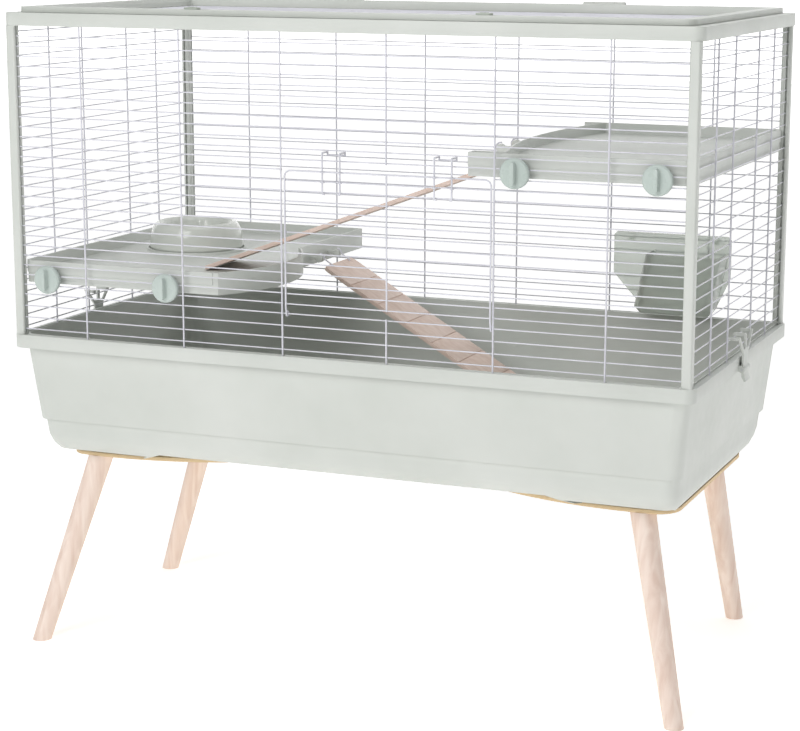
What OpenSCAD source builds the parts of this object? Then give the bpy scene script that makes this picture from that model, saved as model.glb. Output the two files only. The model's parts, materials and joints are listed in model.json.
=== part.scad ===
// Ferret cage: a moulded tray on four splayed wooden legs, a wire cage with a
// drop-down door and a hinged wire roof, two moulded shelves joined by ramps,
// a feeding bowl and a hay rack.
// Millimetres. +X runs along the cage, -Y is the front, +Z is up, and the
// origin is on the floor under the middle of the cage.

/* [Stand] */
// Height of the tray rim's underside above the floor
rim_z = 440; // [430:1:450]
// Diameter of a leg at its top
leg_top_d = 35; // [32:1:38]
// Diameter of a leg at its foot
leg_foot_d = 26; // [22:1:30]
// Distance of a leg's top from the middle of the cage along X
leg_top_x = 412; // [405:1:415]
// Distance of a leg's top from the middle of the cage along Y
leg_top_y = 175; // [172:1:178]
// Distance of a foot from the middle of the cage along X
foot_x = 481; // [460:1:490]
// Distance of a foot from the middle of the cage along Y
foot_y = 244; // [230:1:250]
// How much closer to the middle the back right foot stands along X
back_right_tuck = 40; // [0:1:45]
// How much closer to the middle the back left foot stands along Y
back_left_tuck = 96; // [0:1:100]
// Thickness of the plywood leg plates
plate_t = 5; // [5:0.5:6]

/* [Tray] */
// Length of the tray rim
rim_l = 1002; // [1000:1:1006]
// Depth of the tray rim from front to back
rim_w = 528; // [527:1:532]
// Height of the tray rim
rim_h = 18.8; // [18:0.1:20]
// Thickness of the moulded walls
wall = 2.5; // [2:0.1:2.8]
// Depth of the tray floor below the rim's underside
floor_drop = 146.5; // [145:0.5:147]

/* [Cage] */
// Length of the top frame
top_l = 1000; // [998:1:1002]
// Depth of the top frame from front to back
top_w = 524; // [523:1:526]
// Height of the top frame's skirt
skirt_h = 18; // [17:0.5:20]
// Height of the skirt's lower edge above the rim's underside
skirt_z = 454.1; // [450:0.1:456]
// Diameter of the long horizontal wires
wire_d = 1.8; // [1.6:0.1:2]
// Diameter of the upright wires
upright_d = 2.5; // [2.4:0.1:2.6]

/* [Door] */
// Height of the top of the door above the rim's underside
door_top_z = 271.9; // [271:0.1:272.5]
// How far a door latch is raised in the model above its locked place
latch_travel = 8.3; // [8:0.1:8.3]

/* [Shelves] */
// Height of the left shelf's lower edge above the rim's underside
shelf_left_z = 93.1; // [92:0.1:94]
// Height of the right shelf's lower edge above the rim's underside
shelf_right_z = 274.4; // [273.5:0.1:275]
// Height of a shelf's rail
rail_h = 31; // [28:1:34]
// Diameter of a shelf knob
knob_d = 40; // [36:1:44]

/* [Ramps] */
// Width of a ramp
ramp_w = 100; // [90:1:104]
// Thickness of a ramp
ramp_t = 5.5; // [5:0.5:6]
// Slope of the lower ramp in degrees
lower_slope = 30.9; // [29:0.1:32]
// Slope of the upper ramp in degrees
upper_slope = 20.5; // [19:0.1:21]

/* [Bowl] */
// Diameter of the bowl's base
bowl_base_d = 142; // [130:1:143]
// Diameter of the bowl's rim
bowl_rim_d = 115; // [110:1:120]
// Height of the bowl
bowl_h = 43; // [38:1:46]

/* [Hidden] */
$fn = 48;
hull_fn = 24;
sliver = 0.2;
elbow_swell = 1.04;
// Straight wire between a hook's curl and its first elbow
tangent_run = 1.2;
over = 1;
fit = 0.1;
gap = 0.3;

plastic = "#cfd5cb";
plastic_dark = "#aeb4ab";
wire_white = "#f2f2f5";
wood = "#efe3cf";
plywood = "#e3d2a4";
ramp_wood = "#e8d6cb";
steel = "#c9ccce";
knob_mint = "#dde6e2";
smoky = "#9fae9f";

// Tray outline: half sizes at the heights where its wall changes direction
wall_top = [490, 252.5];
wall_step = [479, 240.5];
sump_top = [475, 236.5];
step_z = -107;
round_z = -118;
sump_draft = 1.5;
pad_z = -163;
belly_z = -149;
belly_low_x = 330;
belly_high_x = 290;
pad_wall_low = 4;
pad_wall_high = 10;
pad_hollow_x = 470;
screw_boss_d = 12;
channel_at = [494.3, 257];
channel_half = [4.2, 4.4];
channel_reach = [465, 228];
channel_roof = 3;
groove_outer = [494.6, 260];
groove_inner = [489.4, 254.8];
rim_tab_x = [101, 145];
rim_tab_z = [6.7, 14.5];
round_x = 20;
round_y = 44;
corner_r = 20;
cavity_round_end = asin((floor_drop + round_z) / (-pad_z + round_z - wall));
plate_top_z = rim_z + pad_z;
plate_bottom_z = plate_top_z - plate_t;
plate_in_x = 200;
plate_out_x = 460;
plate_apex_x = 395;
plate_apex_y = 192;
plate_front_r = 455;
plate_corner_r = 35;
screw_at = [[350, 120], [430, 90]];
bolt_d = 8;
bolt_in_leg = 25;
leg_turn = 37;
nut_barrel_d = 10;
nut_flange_d = 20;
nut_flange_t = 1.5;
screw_d = 4;
screw_head_d = 9;
screw_head_t = 2.5;
screw_l = 14;

// Posts and wires
post_w = 14;
post_at = [489, 254.5];
spigot_w = 7;
spigot_at = [490, 253];
socket_depth = 8;
groove_w = 3;
groove_depth = 5;
long_y = 255.8;
end_x = 490.5;
weld = 1.8;
grille_end = 486;
end_grille_end = 251.5;
upright_foot_z = rim_h - 1.5;
upright_top_z = 466;
front_uprights = [76.4, 227.5, 380.7];
end_uprights = [65, 156];
low_pitch = 16.6;
low_first_z = 27.3;
hinge_wire_z = 77.1;
front_pitch = 13.95;
front_count = 26;
back_first_z = 34.1;
back_pitch = 20.15;
back_count = 20;
end_first_z = 28.1;
end_pitch = 16.7;
end_count = 25;
above_door = 15;
above_door_z = hinge_wire_z + above_door * front_pitch;
doorway_z = [hinge_wire_z + 2, above_door_z - 2];

// Door
door_x = [-69.5, 78.2, 224.5];
door_y = -260.6;
door_bar_y = door_y + weld;
door_corner_r = 9;
door_bars = 13;
curl_r = 3;
curl_up = 9;
curl_run = 3;
curl_top_z = hinge_wire_z + 13;
latch_y = door_y - upright_d - gap;
latch_left_x = [-12.9, 12.5];
latch_right_x = [146.6, 171];
latch_locked_z = [234.7, 289];
latch_z = latch_locked_z + [latch_travel, latch_travel];
latch_reach_y = -246;
latch_tip = 4;
eye_d = 2;
eye_r = upright_d / 2 + 0.35 + eye_d / 2;

// Roof
plate_top_t = 2.5;
frame_top_z = skirt_z + skirt_h;
roof_opening = [942, 466];
lid_outer = [970, 494];
lid_lip_outer = [938, 462];
lid_inner = [930, 454];
lid_z = frame_top_z + 0.4;
lid_t = 7.5;
lid_lip_z = 461;
lid_wire_z = 466.6;
lid_uprights = [-311, -156, 0, 156, 311];
lid_pitch = 16.7;
lid_rows = 13;
lid_groove = 2;
hinge_x = 212;
hinge_y = 253.5;
hinge_z = 478;
hinge_r = 5.5;
hinge_pin_d = 4;
lid_knuckle_w = 32;
frame_knuckle_w = 16;
lid_latch_x = 210;
lid_latch_y = -238;
lid_latch_rest = -5.4;
lid_latch_travel = 10;
latch_pocket = [43, 13, 1.5];
latch_stem = [12, 4];
latch_foot = [14, 8, 3];
latch_tab = [21, 12, 4];

// Shelves
shelf_x = 488;
shelf_y = 248;
rail_end_x = 187;
rail_t = 3;
rail_crease = 1.2;
shelf_corner_r = 14;
floor_t = 3;
floor_left_h = 14;
floor_right_h = 16;
left_edge_x = -178;
left_bulge_at = [-361.7, -114];
left_bulge_r = 227;
right_edge_at = [1091, 35];
right_edge_r = 900;
right_tab = [186, 250, -225];
stud_h = 7.5;
stud_d = 5;
stud_end_y = -236;
boss_d = 10;
boss_end_y = -233;
knob_back_y = -259.4;
knob_disc_t = 6.6;
knob_grip = [6, 30, 8.4];
lower_knob_x = [-440.9, -252.9];
upper_knob_x = [256.5, 445.8];
shelf_hook_x = [270, 440];
shelf_hook_h = 21.6;
lug_d = 11;
lug_w = 9;
lug_spacing = 31;

// Ramps: the pivots are the lugs on the shelves' inner edges
lower_pivot = [-165, 88, 103];
upper_pivot = [186, -88, 299];
lower_hang = 1;
upper_hang = 21.1;
lower_start = 18;
upper_start = 3.5;
hook_r = 7.4;
hook_wrap = 120;
hook_inset = 5;
hook_foot = 6;
lower_leave = 40;
upper_leave = 0;
lower_lug_reach = [-17, -17];
upper_lug_reach = [22, 13];
hook_d = 2.4;
hook_hole_d = 3;
step_count = 8;
step_pitch = 50.2;
step_w = 1.6;
step_depth = 1.2;
ramp_corner_r = 8;
lower_l = (lower_pivot[2] + floor_drop - gap - (lower_hang + ramp_t / 2) * cos(lower_slope))
    / sin(lower_slope);
upper_l = (upper_pivot[2] - shelf_left_z - floor_left_h - gap
    - (upper_hang + ramp_t / 2) * cos(upper_slope)) / sin(upper_slope);

// Bowl, rack and clips
bowl_at = [-369, 50];
bowl_z = shelf_left_z + floor_left_h + gap;
bowl_wall = 3;
bowl_skirt_h = 12;
bowl_well_r = 46;
bowl_well = 34;
bowl_ring_r = 72.5;
bowl_ring_t = 2.5;
bowl_ring_h = 4;
rack_wall = 2.5;
rack_back_y = 251.3;
rack_plate_x = [236, 417];
rack_plate_z = [80, 143];
rack_foot_x = [278, 397];
rack_foot_z = 26;
rack_basket_x = [300, 414];
rack_front_y = 190;
rack_front_z = 118;
rack_foot_y = 216;
rack_hook_x = [262, 391];
rack_wire_z = back_first_z + 5 * back_pitch;
clip_y = -16;
clip_w = 25;
clip_x = 505.5;
clip_z = 2;
clip_knuckle_r = 4;
clip_pin_d = 3;
clip_t = 3;
clip_lug_w = 4;
clip_tip_z = end_first_z + end_pitch + wire_d / 2 + 0.6;
clip_finger_y = [-36, 0, 36];
clip_finger_w = 6;

// ---- Shared shapes -------------------------------------------------------

module wire_x(x0, x1, y, z, d = wire_d) {
    translate([x0, y, z]) rotate([0, 90, 0]) cylinder(h = x1 - x0, d = d);
}

module wire_y(y0, y1, x, z, d = wire_d) {
    translate([x, y0, z]) rotate([-90, 0, 0]) cylinder(h = y1 - y0, d = d);
}

module wire_z(z0, z1, x, y, d = upright_d) {
    translate([x, y, z0]) cylinder(h = z1 - z0, d = d);
}

// A straight round rod from point p to point q
module rod(p, q, d) {
    run = q - p;
    length = norm(run);
    translate(p)
        rotate([0, acos(run[2] / length), atan2(run[1], run[0])])
            cylinder(h = length, d = d);
}

// A bent wire through a list of points, with round elbows a little stouter
// than the wire
module bent_wire(points, d) {
    for (i = [0 : len(points) - 2]) rod(points[i], points[i + 1], d);
    for (i = [1 : len(points) - 2]) translate(points[i]) sphere(d = elbow_swell * d);
}

module rounded_rect(size, r) {
    square([size[0] - 2 * r, size[1]], center = true);
    square([size[0], size[1] - 2 * r], center = true);
    for (x = [-1, 1], y = [-1, 1])
        translate([x * (size[0] / 2 - r), y * (size[1] / 2 - r)]) circle(r = r);
}

module slab(size, r, z0, z1) {
    translate([0, 0, z0]) linear_extrude(z1 - z0) rounded_rect(size, r);
}

module ring(outer, inner, r, z0, z1) {
    difference() {
        slab(outer, r, z0, z1);
        slab(inner, max(r - (outer[0] - inner[0]) / 2, 3), z0 - over, z1 + over);
    }
}

module box(x, y, z) {
    translate([x[0], y[0], z[0]]) cube([x[1] - x[0], y[1] - y[0], z[1] - z[0]]);
}

// ---- Tray and stand ------------------------------------------------------

module tray_slice(half, r, z) {
    slab([2 * half[0], 2 * half[1]], r, z, z + sliver, $fn = hull_fn);
}

// The lower part of the tray, shrunk by t on every side, rounded down to its
// bottom or cut off flat where the rounding reaches the angle to_angle
module sump(t, to_angle, top_z) {
    half = sump_top - [t, t];
    low = half - [sump_draft, sump_draft];
    depth = round_z - pad_z - t;
    hull() {
        tray_slice(half, corner_r, top_z);
        for (i = [0 : 5]) {
            angle = to_angle * i / 5;
            inset = 1 - cos(angle);
            tray_slice(
                low - [(round_x - t) * inset, (round_y - t) * inset],
                corner_r, round_z - depth * sin(angle)
            );
        }
    }
}

module tray_body() {
    hull() {
        tray_slice(wall_top, corner_r, 0);
        tray_slice(wall_step, corner_r, step_z - 0.5);
    }
    sump(0, 90, step_z + 2);
    slab([rim_l, rim_w], 16, 0, rim_h);
}

module tray_cavity() {
    mouth = wall_top - [wall - gap, wall - gap];
    slab(2 * mouth, corner_r - wall + gap, 0, rim_h + over);
    hull() {
        tray_slice(wall_top - [wall, wall], corner_r - wall, 0);
        tray_slice(wall_step - [wall, wall], corner_r - wall, step_z + wall);
    }
    sump(wall, cavity_round_end, step_z + 2 * wall);
}

// Hollows under the two pads, with bosses for the plate screws left standing
module pad_hollows() {
    for (side = [-1, 1]) difference() {
        intersection() {
            rotate([90, 0, 0])
                linear_extrude(2 * sump_top[1], center = true)
                    polygon([
                        [side * (belly_low_x + pad_wall_low), pad_z - over],
                        [side * (belly_high_x + pad_wall_high), belly_z],
                        [side * pad_hollow_x, belly_z], [side * pad_hollow_x, pad_z - over]
                    ]);
            translate([0, 0, -wall - 2 * over]) sump(wall + over, 90, step_z);
        }
        for (at = screw_at, y = [-1, 1])
            translate([side * at[0], y * at[1], pad_z])
                cylinder(h = belly_z - pad_z + over, d = screw_boss_d);
    }
}

module rim_details() {
    // Hollow underside of the rim along the long sides and the ends
    for (side = [-1, 1]) {
        box([-channel_reach[0], channel_reach[0]],
            [side * channel_at[1] - channel_half[1], side * channel_at[1] + channel_half[1]],
            [-over, rim_h - channel_roof]);
        box([side * channel_at[0] - channel_half[0], side * channel_at[0] + channel_half[0]],
            [-channel_reach[1], channel_reach[1]], [-over, rim_h - channel_roof]);
    }
    // Groove that the uprights of the grilles stand in
    ring(2 * groove_outer, 2 * groove_inner, 8, rim_h - 2, rim_h + over);
    // Sockets for the corner posts
    for (x = [-1, 1], y = [-1, 1])
        translate([x * spigot_at[0], y * spigot_at[1], rim_h])
            cube([spigot_w + 2 * gap, spigot_w + 2 * gap, 2 * socket_depth], center = true);
}

// Two lugs that carry the pin of a side clip, on the right-hand end
module clip_lugs() {
    for (side = [-1, 1]) {
        y = clip_y + side * (clip_w / 2 + gap + clip_lug_w / 2);
        difference() {
            union() {
                translate([clip_x, y, clip_z])
                    rotate([90, 0, 0]) cylinder(h = clip_lug_w, r = clip_knuckle_r, center = true);
                box([rim_l / 2 - over, clip_x], [y - clip_lug_w / 2, y + clip_lug_w / 2],
                    [0, 2 * clip_knuckle_r]);
            }
            wire_y(y - clip_lug_w, y + clip_lug_w, clip_x, clip_z, clip_pin_d + fit);
        }
    }
}

module tray() {
    color(plastic) translate([0, 0, rim_z]) {
        difference() {
            tray_body();
            tray_cavity();
            rotate([90, 0, 0])
                linear_extrude(2 * rim_w, center = true)
                    polygon([
                        [-belly_low_x, pad_z - sliver], [-belly_high_x, belly_z],
                        [belly_high_x, belly_z], [belly_low_x, pad_z - sliver]
                    ]);
            pad_hollows();
            for (side = [-1, 1], at = screw_at, y = [-1, 1])
                translate([side * at[0], y * at[1], pad_z - over])
                    cylinder(h = screw_l - plate_t + over + 1, d = screw_d + fit);
            rim_details();
        }
        clip_lugs();
        mirror([1, 0, 0]) clip_lugs();
        box(rim_tab_x, [rim_w / 2 - over, rim_w / 2 + 3], rim_tab_z);
    }
}

module leg_plate() {
    difference() {
        intersection() {
            box([plate_in_x, plate_out_x + over], [-plate_apex_y, plate_apex_y],
                [plate_bottom_z, plate_top_z]);
            intersect_mirrored() translate([plate_apex_x, plate_front_r - plate_apex_y, plate_bottom_z])
                cylinder(h = plate_t, r = plate_front_r);
            translate([plate_out_x / 2, 0, 0])
                slab([plate_out_x, 2 * plate_apex_y], plate_corner_r, plate_bottom_z, plate_top_z);
        }
        for (y = [-1, 1]) {
            translate([leg_top_x, y * leg_top_y, plate_bottom_z - over])
                cylinder(h = plate_t + 2 * over, d = nut_barrel_d + 2 * fit);
            translate([leg_top_x, y * leg_top_y, plate_top_z - nut_flange_t])
                cylinder(h = 2 * nut_flange_t, d = nut_flange_d + 4 * fit);
            for (at = screw_at)
                translate([at[0], y * at[1], plate_bottom_z - over])
                    cylinder(h = plate_t + 2 * over, d = screw_d + 4 * fit);
        }
    }
}

// Intersects a shape with its mirror image in the XZ plane
module intersect_mirrored() {
    intersection() {
        children();
        mirror([0, 1, 0]) children();
    }
}

module leg_plate_right() {
    color(plywood) leg_plate();
}

module leg_plate_left() {
    color(plywood) mirror([1, 0, 0]) leg_plate();
}

// A tapered leg from its top at (side_x, side_y) out to its foot, cut flat at
// the plate and at the floor, and bored for its bolt
module leg(side_x, side_y, tuck = [0, 0]) {
    run = [side_x * (foot_x - tuck[0] - leg_top_x), side_y * (foot_y - tuck[1] - leg_top_y)];
    tilt = atan(norm(run) / plate_bottom_z);
    length = plate_bottom_z / cos(tilt);
    taper = (leg_top_d - leg_foot_d) / length;
    extra = leg_top_d;
    color(wood) difference() {
        intersection() {
            translate([side_x * leg_top_x, side_y * leg_top_y, plate_bottom_z])
                rotate([0, 180 - tilt, atan2(run[1], run[0])]) rotate([0, 0, leg_turn])
                    translate([0, 0, -extra])
                        cylinder(
                            h = length + 2 * extra,
                            d1 = leg_top_d + extra * taper, d2 = leg_foot_d - extra * taper
                        );
            box([-rim_l, rim_l], [-rim_w, rim_w], [0, plate_bottom_z]);
        }
        translate([side_x * leg_top_x, side_y * leg_top_y, plate_bottom_z - bolt_in_leg - over])
            cylinder(h = bolt_in_leg + 2 * over, d = bolt_d + fit);
    }
}

module leg_front_left() {
    leg(-1, -1);
}

module leg_front_right() {
    leg(1, -1);
}

module leg_back_left() {
    leg(-1, 1, [0, back_left_tuck]);
}

module leg_back_right() {
    leg(1, 1, [back_right_tuck, 0]);
}

module at_leg_tops() {
    for (x = [-1, 1], y = [-1, 1])
        translate([x * leg_top_x, y * leg_top_y, 0]) children();
}

module leg_bolts() {
    color(steel) at_leg_tops()
        translate([0, 0, plate_bottom_z - bolt_in_leg])
            cylinder(h = bolt_in_leg + plate_t, d = bolt_d);
}

module tee_nuts() {
    color(steel) at_leg_tops() difference() {
        union() {
            translate([0, 0, plate_bottom_z + 1]) cylinder(h = plate_t - 1, d = nut_barrel_d);
            translate([0, 0, plate_top_z - nut_flange_t]) cylinder(h = nut_flange_t, d = nut_flange_d);
        }
        translate([0, 0, plate_bottom_z]) cylinder(h = plate_t + over, d = bolt_d + fit);
    }
}

module plate_screws() {
    color(steel)
        for (side = [-1, 1], at = screw_at, y = [-1, 1])
            translate([side * at[0], y * at[1], plate_bottom_z]) {
                cylinder(h = screw_l, d = screw_d);
                translate([0, 0, -screw_head_t]) cylinder(h = screw_head_t, d = screw_head_d);
            }
}

// ---- Posts and grilles ---------------------------------------------------

module post(side_x, side_y) {
    inner_x = post_at[0] - post_w / 2;
    inner_y = post_at[1] - post_w / 2;
    color(plastic) translate([0, 0, rim_z]) scale([side_x, side_y, 1]) {
        difference() {
            translate([post_at[0], post_at[1], 0])
                slab([post_w, post_w], 3, rim_h, skirt_z);
            box([inner_x - over, inner_x + groove_depth],
                [long_y - groove_w / 2, long_y + groove_w / 2], [rim_h + 3, skirt_z + over]);
            box([end_x - groove_w / 2, end_x + groove_w / 2],
                [inner_y - over, inner_y + groove_depth], [rim_h + 3, skirt_z + over]);
        }
        translate([spigot_at[0], spigot_at[1], 0]) {
            slab([spigot_w, spigot_w], 1, rim_h - socket_depth + gap, rim_h + 2);
            slab([spigot_w, spigot_w], 1, skirt_z - 2, skirt_z + 12);
        }
    }
}

module post_front_left() {
    post(-1, -1);
}

module post_front_right() {
    post(1, -1);
}

module post_back_left() {
    post(-1, 1);
}

module post_back_right() {
    post(1, 1);
}

// The front wires are in four parts round the doorway. Their uprights meet end
// to end just above the wire that the door turns on and just below the wire
// over the door
module front_uprights_between(z) {
    for (side = [-1, 1], x = front_uprights) wire_z(z[0], z[1], side * x, -long_y - weld);
}

module front_grille_low() {
    color(wire_white) translate([0, 0, rim_z]) {
        for (k = [0 : 2]) wire_x(-grille_end, grille_end, -long_y, low_first_z + k * low_pitch);
        wire_x(-grille_end, grille_end, -long_y, hinge_wire_z);
        front_uprights_between([upright_foot_z, doorway_z[0]]);
    }
}

module front_grille_top() {
    color(wire_white) translate([0, 0, rim_z]) {
        for (k = [above_door : front_count])
            wire_x(-grille_end, grille_end, -long_y, hinge_wire_z + k * front_pitch);
        front_uprights_between([doorway_z[1], upright_top_z]);
    }
}

// The wires on one side of the doorway, from x[0] to x[1]
module beside_doorway(x, uprights) {
    color(wire_white) translate([0, 0, rim_z]) {
        for (k = [1 : above_door - 1]) wire_x(x[0], x[1], -long_y, hinge_wire_z + k * front_pitch);
        for (upright = uprights) wire_z(doorway_z[0], doorway_z[1], upright, -long_y - weld);
    }
}

module front_grille_left() {
    jamb = -front_uprights[0];
    beside_doorway([-grille_end, jamb + weld / 2], [-front_uprights[2], -front_uprights[1], jamb]);
}

module front_grille_right() {
    jamb = front_uprights[1];
    beside_doorway([jamb - weld / 2, grille_end], [jamb, front_uprights[2]]);
}

module back_grille() {
    color(wire_white) translate([0, 0, rim_z]) {
        for (k = [0 : back_count])
            wire_x(-grille_end, grille_end, long_y, back_first_z + k * back_pitch);
        for (side = [-1, 1], x = front_uprights)
            wire_z(upright_foot_z, upright_top_z, side * x, long_y + weld);
    }
}

module end_grille(side) {
    color(wire_white) translate([0, 0, rim_z]) {
        for (k = [0 : end_count])
            wire_y(-end_grille_end, end_grille_end, side * end_x, end_first_z + k * end_pitch);
        for (y = end_uprights, mirrored = [-1, 1])
            wire_z(upright_foot_z, upright_top_z, side * (end_x + weld), mirrored * y);
    }
}

module left_grille() {
    end_grille(-1);
}

module right_grille() {
    end_grille(1);
}

// ---- Top frame and lid ---------------------------------------------------

// Places a child at both lid hinges
module at_hinges() {
    for (side = [-1, 1])
        translate([side * hinge_x, hinge_y, hinge_z]) children();
}

module knuckle(width) {
    rotate([0, 90, 0]) cylinder(h = width, r = hinge_r, center = true);
}

module hinge_bore(width) {
    rotate([0, 90, 0]) cylinder(h = width, d = hinge_pin_d + 2 * fit, center = true);
}

module top_frame() {
    frame_knuckle_x = (lid_knuckle_w + frame_knuckle_w) / 2 + gap;
    rib_outer = [2 * 484.5, 2 * 246.5];
    rib_inner = [2 * 482, 2 * 244];
    color(plastic) translate([0, 0, rim_z]) {
        difference() {
            union() {
                ring([top_l, top_w], [top_l - 2 * wall, top_w - 2 * wall], 14, skirt_z, frame_top_z);
                ring([top_l, top_w], roof_opening, 14, frame_top_z - plate_top_t, frame_top_z);
                ring(rib_outer, rib_inner, 8, skirt_z + 4, frame_top_z);
            }
            // Notches that the feet of the lid latches drop through
            for (side = [-1, 1]) translate([side * lid_latch_x + lid_latch_rest, 0, 0]) {
                box([-latch_foot[0] / 2 - 0.6, latch_foot[0] / 2 + 0.6],
                    [lid_latch_y - 5, -roof_opening[1] / 2 + over], [skirt_z, frame_top_z + over]);
                box([0, lid_latch_travel + latch_stem[0] / 2 + 0.5],
                    [lid_latch_y - latch_stem[1] / 2 - 0.5, lid_latch_y + latch_stem[1] / 2 + 0.5],
                    [skirt_z, frame_top_z + over]);
            }
        }
        difference() {
            union() {
                at_hinges() for (side = [-1, 1]) translate([side * frame_knuckle_x, 0, 0]) {
                    knuckle(frame_knuckle_w);
                    translate([0, 0, (frame_top_z - hinge_z) / 2])
                        cube([frame_knuckle_w, 2 * hinge_r, hinge_z - frame_top_z], center = true);
                }
            }
            at_hinges() hinge_bore(lid_knuckle_w + 4 * frame_knuckle_w);
        }
    }
}

module lid_hinge_pins() {
    length = lid_knuckle_w + 2 * frame_knuckle_w + 4;
    color(steel) translate([0, 0, rim_z]) at_hinges()
        rotate([0, 90, 0]) cylinder(h = length, d = hinge_pin_d, center = true);
}

module lid_frame() {
    color(plastic) translate([0, 0, rim_z]) difference() {
        union() {
            ring(lid_outer, lid_inner, 15, lid_z, lid_z + lid_t);
            ring(lid_lip_outer, lid_inner, 9, lid_lip_z, lid_z + over);
            at_hinges() {
                knuckle(lid_knuckle_w);
                translate([-lid_knuckle_w / 2, lid_outer[1] / 2 - hinge_y - over, lid_z + over - hinge_z])
                    cube([lid_knuckle_w, hinge_y - lid_outer[1] / 2 + over, lid_t - 2 * over]);
            }
        }
        at_hinges() hinge_bore(2 * lid_knuckle_w);
        // Groove that holds the ends of the roof wires
        ring(lid_inner + [2 * lid_groove, 2 * lid_groove], lid_inner - [10, 10], 9,
            lid_wire_z - weld - 1.6, lid_wire_z + 1.3);
        // Sunk pocket and slot of each latch
        for (side = [-1, 1]) translate([side * lid_latch_x, lid_latch_y, lid_z]) {
            slab([latch_pocket[0], latch_pocket[1]], 3, lid_t - latch_pocket[2], lid_t + over);
            translate([lid_latch_rest + lid_latch_travel / 2, 0, lid_t / 2])
                cube([lid_latch_travel + latch_stem[0] + 1, latch_stem[1] + 1, 2 * lid_t], center = true);
        }
    }
}

module lid_grille() {
    half_x = lid_inner[0] / 2 + lid_groove - gap;
    half_y = lid_inner[1] / 2 + lid_groove - gap;
    color(wire_white) translate([0, 0, rim_z]) {
        for (k = [-lid_rows : lid_rows]) wire_x(-half_x, half_x, k * lid_pitch, lid_wire_z);
        for (x = lid_uprights) wire_y(-half_y, half_y, x, lid_wire_z - weld, upright_d);
    }
}

// A sliding latch: a tab in its pocket, a stem through the lid and a foot
// that goes under the top frame when the tab is pushed to the right
module lid_latch(side) {
    tab_z = lid_z + lid_t - latch_pocket[2] + gap;
    foot_top_z = frame_top_z - plate_top_t - 0.4;
    color(plastic_dark)
        translate([side * lid_latch_x + lid_latch_rest, lid_latch_y, rim_z]) {
            slab([latch_tab[0], latch_tab[1]], 3, tab_z, tab_z + latch_tab[2]);
            for (rib = [-1 : 1])
                translate([rib * 4, 0, tab_z + latch_tab[2]]) cube([1.2, 9, 1.6], center = true);
            translate([0, 0, (foot_top_z + tab_z) / 2])
                cube([latch_stem[0], latch_stem[1], tab_z - foot_top_z + over], center = true);
            translate([0, 0, foot_top_z - latch_foot[2] / 2]) cube(latch_foot, center = true);
        }
}

module lid_latch_left() {
    lid_latch(-1);
}

module lid_latch_right() {
    lid_latch(1);
}

// ---- Door ----------------------------------------------------------------

// A small wire eye around an upright of a door latch, welded to a wire at weld_y
module eye(x, z, weld_y) {
    translate([x, latch_y, z]) rotate_extrude() translate([eye_r, 0]) circle(d = eye_d);
    wire_y(latch_y + eye_r, weld_y, x, z, eye_d);
}

// A foot of the door, curled round the fixed wire that it turns on
module door_curl(x) {
    front_y = -long_y - curl_r;
    translate([x, -long_y, hinge_wire_z]) rotate([90, 0, 90]) rotate([0, 0, 180])
        rotate_extrude(angle = 270) translate([curl_r, 0]) circle(d = upright_d);
    bent_wire([
        [x, front_y, hinge_wire_z],
        [x, front_y, hinge_wire_z + curl_run],
        [x, door_y, hinge_wire_z + curl_up],
        [x, door_y, curl_top_z]
    ], upright_d);
}

module door_curls() {
    color(wire_white) translate([0, 0, rim_z]) for (x = [door_x[0], door_x[2]]) door_curl(x);
}

module door() {
    left = door_x[0];
    right = door_x[2];
    high = door_top_z - door_corner_r;
    color(wire_white) translate([0, 0, rim_z]) {
        for (x = [left, right]) wire_z(curl_top_z, high, x, door_y, upright_d);
        wire_x(left + door_corner_r, right - door_corner_r, door_y, door_top_z, upright_d);
        translate([right - door_corner_r, door_y, high]) rotate([90, 0, 0])
            rotate_extrude(angle = 90) translate([door_corner_r, 0]) circle(d = upright_d);
        translate([left + door_corner_r, door_y, high]) rotate([90, 0, 180])
            rotate_extrude(angle = 90) translate([door_corner_r, 0]) circle(d = upright_d);
        wire_z(hinge_wire_z + front_pitch - 1, door_top_z, door_x[1], door_y);
        for (k = [1 : door_bars])
            wire_x(left, right, door_bar_y, hinge_wire_z + k * front_pitch);
        for (x = concat(latch_left_x, latch_right_x)) {
            eye(x, door_top_z, door_y);
            eye(x, hinge_wire_z + door_bars * front_pitch, door_bar_y);
        }
    }
}

// A bent wire that slides in the eyes and hooks over the wire above the door
module door_latch(x) {
    foot = 3.5;
    color(wire_white) translate([0, 0, rim_z]) bent_wire([
        [x[0] + foot, latch_y, latch_z[0]],
        [x[0], latch_y, latch_z[0]],
        [x[0], latch_y, latch_z[1]],
        [x[0], latch_reach_y, latch_z[1]],
        [x[0], latch_reach_y, latch_z[1] - latch_tip],
        [x[1], latch_reach_y, latch_z[1] - latch_tip],
        [x[1], latch_reach_y, latch_z[1]],
        [x[1], latch_y, latch_z[1]],
        [x[1], latch_y, latch_z[0]],
        [x[1] - foot, latch_y, latch_z[0]]
    ], upright_d);
}

module door_latch_left() {
    door_latch(latch_left_x);
}

module door_latch_right() {
    door_latch(latch_right_x);
}

// ---- Shelves -------------------------------------------------------------

// Outline of the left shelf, shrunk by t
module left_outline(t) {
    intersection() {
        rounded_rect([2 * (shelf_x - t), 2 * (shelf_y - t)], shelf_corner_r - t);
        union() {
            translate([-shelf_x, -shelf_y]) square([shelf_x + left_edge_x - t, 2 * shelf_y]);
            translate(left_bulge_at) circle(r = left_bulge_r - t);
        }
    }
}

// Outline of the right shelf, shrunk by t
module right_outline(t) {
    intersection() {
        rounded_rect([2 * (shelf_x - t), 2 * (shelf_y - t)], shelf_corner_r - t);
        union() {
            translate(right_edge_at) circle(r = right_edge_r - t);
            translate([right_tab[0] + t, -shelf_y])
                square([right_tab[1] - right_tab[0] - 2 * t, shelf_y + right_tab[2] - t]);
        }
    }
}

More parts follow.
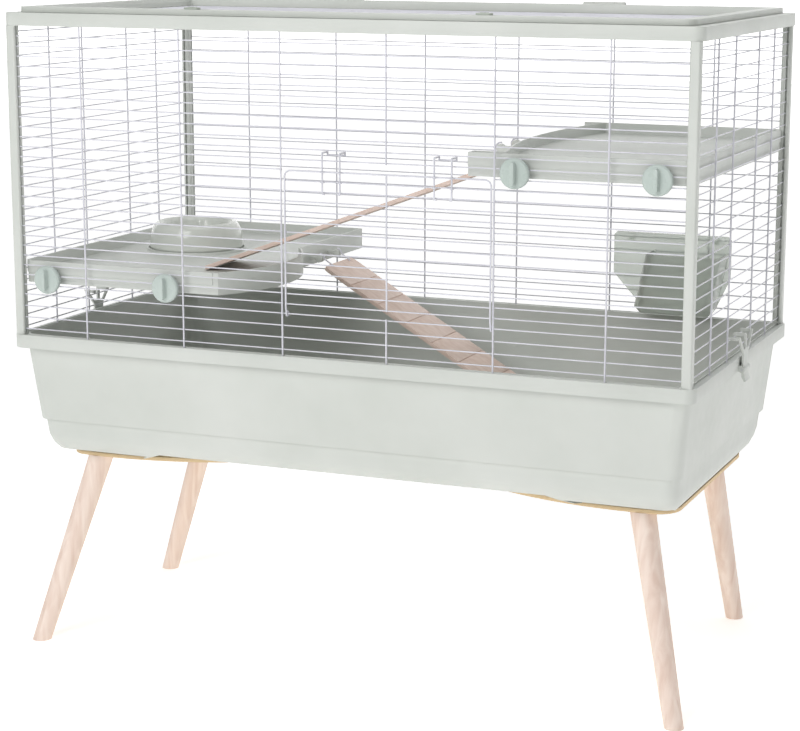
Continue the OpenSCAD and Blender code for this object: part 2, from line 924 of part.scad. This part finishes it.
// The thicker upper half of the wall round the front, the end and the back of
// the right-hand shelf, which leaves a crease half way up
module rail() {
    half = [shelf_x, shelf_y];
    difference() {
        ring(2 * half, 2 * (half - [rail_t, rail_t]), shelf_corner_r, rail_h / 2 - 1.5, rail_h);
        box([-rim_l, rail_end_x], [-rim_w, rim_w], [-over, rail_h + over]);
    }
}

// Hooks at the back of a shelf that hang on a back wire
module shelf_hooks() {
    for (x = shelf_hook_x) {
        box([x - 6, x + 6], [shelf_y - over, long_y + 3.9], [shelf_hook_h + 1.2, shelf_hook_h + 4.2]);
        box([x - 6, x + 6], [long_y + 1.5, long_y + 3.9], [shelf_hook_h - 6, shelf_hook_h + 4.2]);
    }
}

// Bosses behind the front rail that the knob studs screw into
module stud_bosses(xs) {
    for (x = xs) wire_y(-shelf_y + rail_t, boss_end_y, x, stud_h, boss_d);
}

module stud_bores(xs) {
    for (x = xs) wire_y(-shelf_y - over, boss_end_y + over, x, stud_h, stud_d + 2 * fit);
}

// Round lugs that a ramp hangs on; reach is each lug's run back into the wall
module ramp_lugs(pivot, reach, base_z) {
    for (i = [0, 1]) translate([pivot[0], pivot[1] + (2 * i - 1) * lug_spacing, 0]) {
        translate([0, 0, pivot[2]]) rotate([90, 0, 0]) cylinder(h = lug_w, d = lug_d, center = true);
        box([min(0, reach[i]), max(0, reach[i])], [-lug_w / 2, lug_w / 2], [base_z, pivot[2] + 3]);
    }
}

module shelf_left() {
    floor_z = floor_left_h - floor_t;
    color(plastic) translate([0, 0, rim_z + shelf_left_z]) {
        difference() {
            union() {
                mirror([1, 0, 0]) {
                    rail();
                    shelf_hooks();
                }
                stud_bosses(lower_knob_x);
                translate([0, 0, floor_z]) linear_extrude(floor_t) left_outline(rail_crease);
                linear_extrude(rail_h) difference() {
                    left_outline(rail_crease);
                    left_outline(rail_crease + rail_t);
                }
            }
            stud_bores(lower_knob_x);
        }
        translate([bowl_at[0], bowl_at[1], floor_left_h - over]) difference() {
            cylinder(h = bowl_ring_h + over, r = bowl_ring_r + bowl_ring_t);
            translate([0, 0, -over]) cylinder(h = bowl_ring_h + 3 * over, r = bowl_ring_r);
        }
        translate([0, 0, -shelf_left_z]) ramp_lugs(lower_pivot, lower_lug_reach, shelf_left_z + floor_z - 2);
    }
}

module shelf_right() {
    floor_z = floor_right_h - floor_t;
    color(plastic) translate([0, 0, rim_z + shelf_right_z]) {
        difference() {
            union() {
                rail();
                shelf_hooks();
                stud_bosses(upper_knob_x);
                translate([0, 0, floor_z]) linear_extrude(floor_t) right_outline(rail_crease);
                linear_extrude(rail_h) difference() {
                    right_outline(rail_crease);
                    right_outline(rail_crease + rail_t);
                }
            }
            stud_bores(upper_knob_x);
        }
        translate([0, 0, -shelf_right_z]) ramp_lugs(upper_pivot, upper_lug_reach, shelf_right_z + floor_z);
    }
}

// A knob whose stud goes between the front wires into a boss behind the rail
module knob(x, shelf_z) {
    color(knob_mint) translate([x, knob_back_y, rim_z + shelf_z + stud_h]) {
        rotate([90, 0, 0]) cylinder(h = knob_disc_t - 2, d = knob_d);
        translate([0, 2 - knob_disc_t, 0]) rotate([90, 0, 0]) cylinder(h = 2, d1 = knob_d, d2 = knob_d - 4);
        translate([0, -knob_disc_t - knob_grip[2] / 2, 0])
            cube([knob_grip[0], knob_grip[2] + over, knob_grip[1] - knob_grip[0]], center = true);
        for (end = [-1, 1])
            translate([0, over / 2 - knob_disc_t, end * (knob_grip[1] - knob_grip[0]) / 2])
                rotate([90, 0, 0]) cylinder(h = knob_grip[2] + over, d = knob_grip[0]);
        wire_y(-over, stud_end_y - knob_back_y, 0, 0, stud_d);
    }
}

module knob_lower_left() {
    knob(lower_knob_x[0], shelf_left_z);
}

module knob_lower_right() {
    knob(lower_knob_x[1], shelf_left_z);
}

module knob_upper_left() {
    knob(upper_knob_x[0], shelf_right_z);
}

module knob_upper_right() {
    knob(upper_knob_x[1], shelf_right_z);
}

// ---- Ramps ---------------------------------------------------------------

// A ramp board below its pivot: X runs down the slope and Z is square to it
module board(start, end, hang) {
    length = end - start;
    top = ramp_t / 2 - hang;
    color(ramp_wood) difference() {
        translate([start + length / 2, 0, 0]) slab([length, ramp_w], ramp_corner_r, top - ramp_t, top);
        for (side = [-1, 1])
            translate([start + hook_inset, side * lug_spacing, top - 1.5 * ramp_t])
                cylinder(h = 2 * ramp_t, d = hook_hole_d);
        for (k = [1 : step_count]) translate([start + k * step_pitch, 0, 0])
            box([-step_w / 2, step_w / 2], [-ramp_w, ramp_w], [top - step_depth, top + over]);
    }
}

// The two wire hooks of a ramp, in the board's own frame. The wire goes round
// its lug, leaves it at the angle leave and goes down through the board.
module hooks(start, hang, leave) {
    hole_x = start + hook_inset;
    above_board = ramp_t / 2 - hang + hook_d / 2 + gap;
    below_board = above_board - ramp_t - hook_d - 2 * gap;
    lug_side = hook_r * [cos(leave), 0, sin(leave)];
    away = tangent_run * [sin(leave), 0, -cos(leave)];
    color(wire_white) for (side = [-1, 1]) translate([0, side * lug_spacing, 0]) {
        rotate([0, -leave, 0]) rotate([90, 0, 0])
            rotate_extrude(angle = hook_wrap - leave) translate([hook_r, 0]) circle(d = hook_d);
        bent_wire([
            lug_side,
            lug_side + away,
            [hole_x, 0, above_board],
            [hole_x, 0, below_board],
            [hole_x + hook_foot, 0, below_board]
        ], hook_d);
    }
}

module place_lower() {
    translate(lower_pivot + [0, 0, rim_z]) rotate([0, lower_slope, 0]) children();
}

module place_upper() {
    translate(upper_pivot + [0, 0, rim_z]) mirror([1, 0, 0]) rotate([0, upper_slope, 0]) children();
}

module ramp_lower() {
    place_lower() board(lower_start, lower_l, lower_hang);
}

module ramp_lower_hooks() {
    place_lower() hooks(lower_start, lower_hang, lower_leave);
}

module ramp_upper() {
    place_upper() board(upper_start, upper_l, upper_hang);
}

module ramp_upper_hooks() {
    place_upper() hooks(upper_start, upper_hang, upper_leave);
}

// ---- Bowl, rack and clips ------------------------------------------------

// The rounded shoulder of the bowl from its skirt up to its rim, shrunk by t
function shoulder(t) = [
    for (angle = [0 : 15 : 90]) [
        bowl_rim_d / 2 + ((bowl_base_d - bowl_rim_d) / 2 - 1 - t) * cos(angle),
        bowl_skirt_h + (bowl_h - bowl_skirt_h - t) * sin(angle)
    ]
];

function reversed(points) = [for (i = [len(points) - 1 : -1 : 0]) points[i]];

module food_bowl() {
    base_r = bowl_base_d / 2;
    rim_r = bowl_rim_d / 2;
    floor_z = bowl_h - bowl_well;
    inside = [
        [rim_r - 2.5, bowl_h - 1.5], [bowl_well_r + 5, bowl_h - 6], [bowl_well_r + 2, floor_z + 3],
        [bowl_well_r, floor_z], [0, floor_z]
    ];
    underside = [
        [0, floor_z - bowl_wall], [bowl_well_r + 1, floor_z - bowl_wall],
        [bowl_well_r + 2 + bowl_wall, floor_z + 2], [bowl_well_r + 5 + bowl_wall, bowl_h - 7]
    ];
    color(plastic_dark) translate([bowl_at[0], bowl_at[1], rim_z + bowl_z]) rotate_extrude(convexity = 4)
        polygon(concat(
            [[base_r - bowl_wall - 3, 0], [base_r - 3, 0], [base_r, 6]],
            shoulder(0), inside, underside, reversed(shoulder(bowl_wall))
        ));
}

module rack_slice(x, y0, z, t) {
    size = [x[1] - x[0] - 2 * t, rack_back_y - y0 - t + 20];
    translate([(x[0] + x[1]) / 2, (rack_back_y + y0 + t + 20) / 2, 0])
        slab(size, 12, z, z + sliver, $fn = hull_fn);
}

// The rack's basket, shrunk by t: narrow at its foot and open at the top
module rack_basket(t, top_z) {
    intersection() {
        hull() {
            rack_slice(rack_basket_x, rack_front_y, top_z, t);
            rack_slice(rack_foot_x, rack_foot_y - 8, rack_foot_z + 10 + t, t);
            rack_slice(rack_foot_x + [6, -6], rack_foot_y, rack_foot_z + t, t);
        }
        box([0, rim_l / 2], [0, rack_back_y - (t > 0 ? rack_wall : 0)], [0, skirt_z]);
    }
}

module rack_hook(x) {
    box([x - 5, x + 5], [rack_back_y - over, long_y + 3.9], [rack_wire_z + 1.2, rack_wire_z + 4.2]);
    box([x - 5, x + 5], [long_y + 1.5, long_y + 3.9], [rack_wire_z - 6, rack_wire_z + 4.2]);
}

module hay_rack() {
    color(smoky) translate([0, 0, rim_z]) {
        difference() {
            rack_basket(0, rack_front_z);
            rack_basket(rack_wall, rack_front_z + over);
        }
        translate([0, rack_back_y, 0]) rotate([90, 0, 0]) linear_extrude(rack_wall) polygon([
            [rack_plate_x[0], rack_plate_z[0]], [rack_foot_x[0] + 2, rack_foot_z + 6],
            [rack_foot_x[0] + 10, rack_foot_z], [rack_foot_x[1] - 10, rack_foot_z],
            [rack_foot_x[1] - 2, rack_foot_z + 6], [rack_plate_x[1], rack_plate_z[0]],
            [rack_plate_x[1], rack_plate_z[1] - 5], [rack_plate_x[1] - 5, rack_plate_z[1]],
            [rack_plate_x[0] + 5, rack_plate_z[1]], [rack_plate_x[0], rack_plate_z[1] - 5]
        ]);
        for (x = rack_hook_x) rack_hook(x);
    }
}

// The clip of the right-hand end: a strap on a pin with three fingers that
// reach over a wire of the end grille, and a tail to pull it open by
module clip() {
    strap_x = clip_x - clip_t / 2;
    finger_z = 26;
    color(plastic) translate([0, clip_y, rim_z]) difference() {
        union() {
            translate([clip_x, 0, clip_z])
                rotate([90, 0, 0]) cylinder(h = clip_w, r = clip_knuckle_r, center = true);
            rotate([90, 0, 0]) linear_extrude(clip_w, center = true) polygon([
                [strap_x, finger_z + 4], [strap_x, clip_z], [strap_x + 0.5, -8], [strap_x + 4, -15],
                [strap_x + 7, -14], [strap_x + clip_t + 1, -6], [strap_x + clip_t, clip_z],
                [strap_x + clip_t, finger_z + 4]
            ]);
            for (y = clip_finger_y) {
                translate([strap_x, 0, 0]) rotate([90, 0, 90]) linear_extrude(clip_t) polygon([
                    [y / 5 - clip_finger_w / 2, finger_z - 4], [y / 5 + clip_finger_w / 2, finger_z - 4],
                    [y + clip_finger_w / 2, clip_tip_z + 4], [y - clip_finger_w / 2, clip_tip_z + 4]
                ]);
                box([end_x - 1.5, strap_x + 1], [y - clip_finger_w / 2, y + clip_finger_w / 2],
                    [clip_tip_z, clip_tip_z + 4]);
            }
        }
        wire_y(-clip_w, clip_w, clip_x, clip_z, clip_pin_d + 2 * fit);
    }
}

module clip_right() {
    clip();
}

module clip_left() {
    mirror([1, 0, 0]) clip();
}

module clip_pins() {
    half = clip_w / 2 + gap + clip_lug_w;
    color(steel) for (side = [-1, 1])
        translate([0, 0, rim_z]) wire_y(clip_y - half, clip_y + half, side * clip_x, clip_z, clip_pin_d);
}

tray();
leg_plate_left();
leg_plate_right();
leg_front_left();
leg_front_right();
leg_back_left();
leg_back_right();
leg_bolts();
tee_nuts();
plate_screws();
post_front_left();
post_front_right();
post_back_left();
post_back_right();
front_grille_low();
front_grille_left();
front_grille_right();
front_grille_top();
back_grille();
left_grille();
right_grille();
top_frame();
lid_hinge_pins();
lid_frame();
lid_grille();
lid_latch_left();
lid_latch_right();
door();
door_curls();
door_latch_left();
door_latch_right();
shelf_left();
shelf_right();
knob_lower_left();
knob_lower_right();
knob_upper_left();
knob_upper_right();
ramp_lower();
ramp_lower_hooks();
ramp_upper();
ramp_upper_hooks();
food_bowl();
hay_rack();
clip_left();
clip_right();
clip_pins();
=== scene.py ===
"""Looks of the ferret cage: soft edges, materials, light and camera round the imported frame."""

import json
import math

import bmesh
import bpy
from mathutils import Matrix, Vector


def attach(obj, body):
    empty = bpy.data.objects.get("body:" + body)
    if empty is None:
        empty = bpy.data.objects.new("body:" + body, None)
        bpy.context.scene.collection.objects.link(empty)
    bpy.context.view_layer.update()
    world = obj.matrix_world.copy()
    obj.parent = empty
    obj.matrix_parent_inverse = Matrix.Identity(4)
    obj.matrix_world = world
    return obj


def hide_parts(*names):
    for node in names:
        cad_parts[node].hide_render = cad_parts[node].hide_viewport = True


# The photograph's camera, solved on the corners of the cage
IMAGE_WIDTH, IMAGE_HEIGHT = 800, 731
FOCAL_PX = 2144.56
CENTRE_PX = (443.62, 371.19)
CAMERA_AT = (1.1736, -2.8392, 1.0239)
AZIMUTH, PITCH, ROLL = 21.46, 11.575, -0.27
SENSOR_MM = 36.0

# Corners nearer than MERGE metres are one; faces count as flat, or an edge as sharp, by angle
MERGE = 1e-5
FLAT_ANGLE = math.radians(1)
EDGE_ANGLE = math.radians(35)

# The white stage, in metres, and how strongly its parts glow
FLOOR_HALF = 28
WALL_Y = 12
WALL_TOP = 14
FLOOR_GLOW = 0.42
WALL_GLOW = 0.9
WORLD_GLOW = 0.26

# Square lights: place, target, side in metres and power in watts
LIGHTS = {
    "key": ((-1.0, -5.0, 3.4), (0, 0, 0.5), 3.0, 150),
    "top": ((0.2, -0.4, 3.4), (0, 0, 0.6), 2.0, 20),
}

# Pattern scales, the rib's height in metres and the upward share of a normal that looks up
RIB_SCALE = 70
RIB_HEIGHT = 0.0003
PLY_SCALE = 180
LOOKS_UP = 0.95

# How far each moulded or cut edge is rounded, in metres
EDGE_RADIUS = {
    "tray": 0.0008,
    "top_frame": 0.0007,
    "lid_frame": 0.0008,
    "lid_latch_left": 0.0004,
    "lid_latch_right": 0.0004,
    "post_front_left": 0.0006,
    "post_front_right": 0.0006,
    "post_back_left": 0.0006,
    "post_back_right": 0.0006,
    "shelf_left": 0.0006,
    "shelf_right": 0.0006,
    "knob_lower_left": 0.0005,
    "knob_lower_right": 0.0005,
    "knob_upper_left": 0.0005,
    "knob_upper_right": 0.0005,
    "ramp_lower": 0.0005,
    "ramp_upper": 0.0005,
    "leg_plate_left": 0.0004,
    "leg_plate_right": 0.0004,
    "food_bowl": 0.0005,
    "hay_rack": 0.0005,
    "clip_left": 0.0004,
    "clip_right": 0.0004,
}


def srgb(red, green, blue):
    """A colour read as 0 to 255 in a picture, as Blender's linear colour."""
    def linear(value):
        share = value / 255
        return share / 12.92 if share <= 0.04045 else ((share + 0.055) / 1.055) ** 2.4

    return (linear(red), linear(green), linear(blue), 1)


class Shader:
    """A Principled material with short calls for the nodes that feed it."""

    def __init__(self, name, roughness=0.5, metallic=0.0):
        self.material = bpy.data.materials.new(name)
        self.material.use_nodes = True
        self.tree = self.material.node_tree
        self.bsdf = self.tree.nodes["Principled BSDF"]
        self.bsdf.inputs["Roughness"].default_value = roughness
        self.bsdf.inputs["Metallic"].default_value = metallic
        self.place = self.add("ShaderNodeTexCoord").outputs["Object"]

    def add(self, kind, **values):
        node = self.tree.nodes.new(kind)
        for key, value in values.items():
            setattr(node, key, value)
        return node

    def link(self, output, socket):
        self.tree.links.new(output, socket)

    def stretched(self, scale):
        mapping = self.add("ShaderNodeMapping")
        mapping.inputs["Scale"].default_value = scale
        self.link(self.place, mapping.inputs["Vector"])
        return mapping.outputs["Vector"]

    def noise(self, scale, detail=3.0, vector=None, distortion=0.0):
        node = self.add("ShaderNodeTexNoise")
        node.inputs["Scale"].default_value = scale
        node.inputs["Detail"].default_value = detail
        node.inputs["Distortion"].default_value = distortion
        self.link(vector or self.place, node.inputs["Vector"])
        return node.outputs["Fac"]

    def spread(self, factor, low, high):
        """Maps noise, which lies near a half, to the range low to high."""
        node = self.add("ShaderNodeMapRange")
        node.inputs["From Min"].default_value = 0.3
        node.inputs["From Max"].default_value = 0.7
        node.inputs["To Min"].default_value = low
        node.inputs["To Max"].default_value = high
        self.link(factor, node.inputs["Value"])
        return node.outputs["Result"]

    def colours(self, factor, stops):
        ramp = self.add("ShaderNodeValToRGB")
        elements = ramp.color_ramp.elements
        while len(elements) < len(stops):
            elements.new(0.5)
        for element, (position, colour) in zip(elements, stops):
            element.position = position
            element.color = colour
        self.link(factor, ramp.inputs["Fac"])
        self.link(ramp.outputs["Color"], self.bsdf.inputs["Base Color"])

    def bump(self, height, distance, strength=1.0):
        node = self.add("ShaderNodeBump")
        node.inputs["Strength"].default_value = strength
        node.inputs["Distance"].default_value = distance
        self.link(height, node.inputs["Height"])
        self.link(node.outputs["Normal"], self.bsdf.inputs["Normal"])

    def rough(self, factor, low, high):
        self.link(self.spread(factor, low, high), self.bsdf.inputs["Roughness"])


def clouded(name, dark, light, rough):
    """Plastic with faint flow clouds, before its surface is given."""
    shader = Shader(name)
    shader.colours(shader.noise(7, 4), [(0.3, dark), (0.7, light)])
    shader.rough(shader.noise(60), *rough)
    return shader


def moulded(name, dark, light, rough=(0.42, 0.56), grain=0.00006):
    """Injection-moulded plastic with a fine spark-eroded grain."""
    shader = clouded(name, dark, light, rough)
    shader.bump(shader.noise(1400, 2), grain)
    return shader.material


def ribbed(name, dark, light):
    """The shelves' plastic, with fine ribs on the faces that look up."""
    shader = clouded(name, dark, light, (0.42, 0.56))
    wave = shader.add("ShaderNodeTexWave", wave_type="BANDS", bands_direction="X")
    wave.inputs["Scale"].default_value = RIB_SCALE
    shader.link(shader.place, wave.inputs["Vector"])
    split = shader.add("ShaderNodeSeparateXYZ")
    shader.link(shader.add("ShaderNodeNewGeometry").outputs["Normal"], split.inputs["Vector"])
    looks_up = shader.add("ShaderNodeMath", operation="GREATER_THAN")
    looks_up.inputs[1].default_value = LOOKS_UP
    shader.link(split.outputs["Z"], looks_up.inputs[0])
    height = shader.add("ShaderNodeMath", operation="MULTIPLY")
    shader.link(wave.outputs["Fac"], height.inputs[0])
    shader.link(looks_up.outputs["Value"], height.inputs[1])
    shader.bump(height.outputs["Value"], RIB_HEIGHT)
    return shader.material


def coated_wire(name):
    """Pale coated wire, slightly uneven."""
    shader = Shader(name)
    shader.colours(shader.noise(25), [(0.3, srgb(206, 206, 214)), (0.7, srgb(222, 222, 229))])
    shader.rough(shader.noise(90), 0.26, 0.4)
    shader.bump(shader.noise(300, 2), 0.0001, 0.5)
    return shader.material


def plated_steel(name):
    shader = Shader(name, metallic=1.0)
    shader.colours(shader.noise(120), [(0.3, srgb(176, 178, 182)), (0.7, srgb(208, 209, 211))])
    shader.rough(shader.noise(400), 0.28, 0.46)
    shader.bump(shader.noise(900), 0.00004)
    return shader.material


def timber(name, dark, light, along, rough=(0.5, 0.66)):
    """Pale wood whose grain runs along the axis that is least scaled."""
    shader = Shader(name)
    grain = shader.noise(9, 5, shader.stretched(along), 0.6)
    shader.colours(grain, [(0.32, dark), (0.68, light)])
    shader.rough(grain, *rough)
    shader.bump(shader.noise(60, 4, shader.stretched(along)), 0.00018, 0.6)
    return shader.material


def plies(name):
    """Plywood: its layers show as bands on the cut edge."""
    shader = Shader(name)
    wave = shader.add("ShaderNodeTexWave", wave_type="BANDS", bands_direction="Z")
    wave.inputs["Scale"].default_value = PLY_SCALE
    wave.inputs["Distortion"].default_value = 1.2
    shader.link(shader.place, wave.inputs["Vector"])
    shader.colours(wave.outputs["Fac"], [(0.2, srgb(214, 182, 132)), (0.8, srgb(243, 219, 180))])
    shader.rough(shader.noise(80), 0.55, 0.72)
    shader.bump(wave.outputs["Fac"], 0.0001, 0.5)
    return shader.material


def smoked(name):
    """Smoky see-through plastic."""
    shader = Shader(name)
    shader.bsdf.inputs["Transmission Weight"].default_value = 0.6
    shader.bsdf.inputs["IOR"].default_value = 1.49
    shader.colours(shader.noise(9), [(0.3, srgb(228, 234, 227)), (0.7, srgb(238, 243, 237))])
    shader.rough(shader.noise(70), 0.12, 0.22)
    shader.bump(shader.noise(500), 0.00003)
    return shader.material


def paint(obj, material):
    obj.data.materials.clear()
    obj.data.materials.append(material)


def soften(node, body, material, radius):
    """Stands a copy of a CAD node, with rounded edges, in the node's place."""
    source = frame["nodes"][node]
    mesh = source.data.copy()
    work = bmesh.new()
    work.from_mesh(mesh)
    bmesh.ops.remove_doubles(work, verts=work.verts, dist=MERGE)
    bmesh.ops.dissolve_limit(work, angle_limit=FLAT_ANGLE, verts=work.verts, edges=work.edges)
    work.to_mesh(mesh)
    work.free()
    piece = bpy.data.objects.new(node + "_soft", mesh)
    bpy.context.scene.collection.objects.link(piece)
    bevel = piece.modifiers.new("edges", "BEVEL")
    bevel.width = radius
    bevel.segments = 2
    bevel.limit_method = "ANGLE"
    bevel.angle_limit = EDGE_ANGLE
    bevel.use_clamp_overlap = True
    bevel.harden_normals = True
    mesh.shade_smooth()
    paint(piece, material)
    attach(piece, body)
    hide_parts(node)
    return piece


def add_camera():
    """The camera with the photograph's place, turn, lens and shift."""
    yaw, pitch, roll = (math.radians(angle) for angle in (AZIMUTH, PITCH, ROLL))
    back = Vector((
        math.sin(yaw) * math.cos(pitch), -math.cos(yaw) * math.cos(pitch), math.sin(pitch)
    ))
    level_right = Vector((math.cos(yaw), math.sin(yaw), 0))
    level_up = back.cross(level_right)
    right = math.cos(roll) * level_right - math.sin(roll) * level_up
    up = math.sin(roll) * level_right + math.cos(roll) * level_up
    data = bpy.data.cameras.new("camera")
    data.sensor_width = SENSOR_MM
    data.lens = FOCAL_PX / IMAGE_WIDTH * SENSOR_MM
    data.shift_x = (IMAGE_WIDTH / 2 - CENTRE_PX[0]) / IMAGE_WIDTH
    data.shift_y = (CENTRE_PX[1] - IMAGE_HEIGHT / 2) / IMAGE_WIDTH
    camera = bpy.data.objects.new("camera", data)
    turn = Matrix((right, up, back)).transposed().to_4x4()
    camera.matrix_world = Matrix.Translation(CAMERA_AT) @ turn
    bpy.context.scene.collection.objects.link(camera)
    bpy.context.scene.camera = camera


def add_area(name, at, target, size, power):
    """A square light that points at its target."""
    data = bpy.data.lights.new(name, "AREA")
    data.shape = "SQUARE"
    data.size = size
    data.energy = power
    light = bpy.data.objects.new(name, data)
    direction = Vector(target) - Vector(at)
    turn = direction.to_track_quat("-Z", "Y").to_matrix().to_4x4()
    light.matrix_world = Matrix.Translation(at) @ turn
    bpy.context.scene.collection.objects.link(light)


def add_sheet(name, corners, glow):
    """One sheet of the white paper that the cage stands on and before."""
    mesh = bpy.data.meshes.new(name)
    mesh.from_pydata(corners, [], [(0, 1, 2, 3)])
    sheet = bpy.data.objects.new(name, mesh)
    bpy.context.scene.collection.objects.link(sheet)
    shader = Shader(name + "_white", roughness=0.8)
    shader.bsdf.inputs["Emission Color"].default_value = (1, 1, 1, 1)
    shader.bsdf.inputs["Emission Strength"].default_value = glow
    shader.colours(shader.noise(2), [(0.3, srgb(247, 247, 247)), (0.7, srgb(251, 251, 251))])
    paint(sheet, shader.material)


def add_studio():
    """White sheets, a pale world and two lights."""
    far = FLOOR_HALF
    foot = [(-far, WALL_Y, 0), (far, WALL_Y, 0)]
    add_sheet("floor", [(-far, -far, 0), (far, -far, 0), *reversed(foot)], FLOOR_GLOW)
    add_sheet("wall", [*foot, (far, WALL_Y, WALL_TOP), (-far, WALL_Y, WALL_TOP)], WALL_GLOW)

    world = bpy.data.worlds.new("studio")
    world.use_nodes = True
    background = world.node_tree.nodes["Background"]
    background.inputs["Color"].default_value = (1, 1, 1, 1)
    background.inputs["Strength"].default_value = WORLD_GLOW
    bpy.context.scene.world = world
    for name, settings in LIGHTS.items():
        add_area(name, *settings)
    bpy.context.scene.view_settings.view_transform = "Standard"


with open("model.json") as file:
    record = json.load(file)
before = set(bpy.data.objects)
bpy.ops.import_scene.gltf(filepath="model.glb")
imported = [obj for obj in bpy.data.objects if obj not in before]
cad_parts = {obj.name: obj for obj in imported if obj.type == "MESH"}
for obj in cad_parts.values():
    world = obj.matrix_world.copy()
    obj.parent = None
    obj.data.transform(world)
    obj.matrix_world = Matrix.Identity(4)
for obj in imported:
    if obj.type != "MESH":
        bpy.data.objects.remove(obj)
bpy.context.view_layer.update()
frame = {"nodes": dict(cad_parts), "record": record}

add_camera()
add_studio()

SHELL = (srgb(200, 204, 198), srgb(210, 213, 208))
MATERIALS = {
    "shell_plastic": moulded("shell_plastic", *SHELL),
    "dark_plastic": moulded("dark_plastic", srgb(168, 176, 166), srgb(180, 187, 177)),
    "wire": coated_wire("wire"),
    "steel": plated_steel("steel"),
    "leg_wood": timber("leg_wood", srgb(228, 203, 188), srgb(248, 231, 219), (9, 9, 1)),
    "plywood": plies("plywood"),
    "ramp_wood": timber("ramp_wood", srgb(216, 192, 178), srgb(233, 213, 202), (1, 9, 9)),
    "knob_plastic": moulded(
        "knob_plastic", srgb(178, 190, 184), srgb(192, 203, 198), (0.24, 0.36), 0.00002
    ),
    "bowl_plastic": moulded(
        "bowl_plastic", srgb(206, 210, 203), srgb(217, 220, 214), (0.12, 0.2), 0.00001
    ),
    "smoky_plastic": smoked("smoky_plastic"),
}
SHELF = ribbed("shelf_plastic", *SHELL)
SLOT_OF = {part["node"]: part["material_slot"] for part in frame["record"]["subparts"]}
BODY_OF = {
    node: body for body, nodes in frame["record"]["behaviour"]["bodies"].items() for node in nodes
}

for name, slot in SLOT_OF.items():
    material = SHELF if name.startswith("shelf_") else MATERIALS[slot]
    if name in EDGE_RADIUS:
        soften(name, BODY_OF[name], material, EDGE_RADIUS[name])
    else:
        paint(frame["nodes"][name], material)
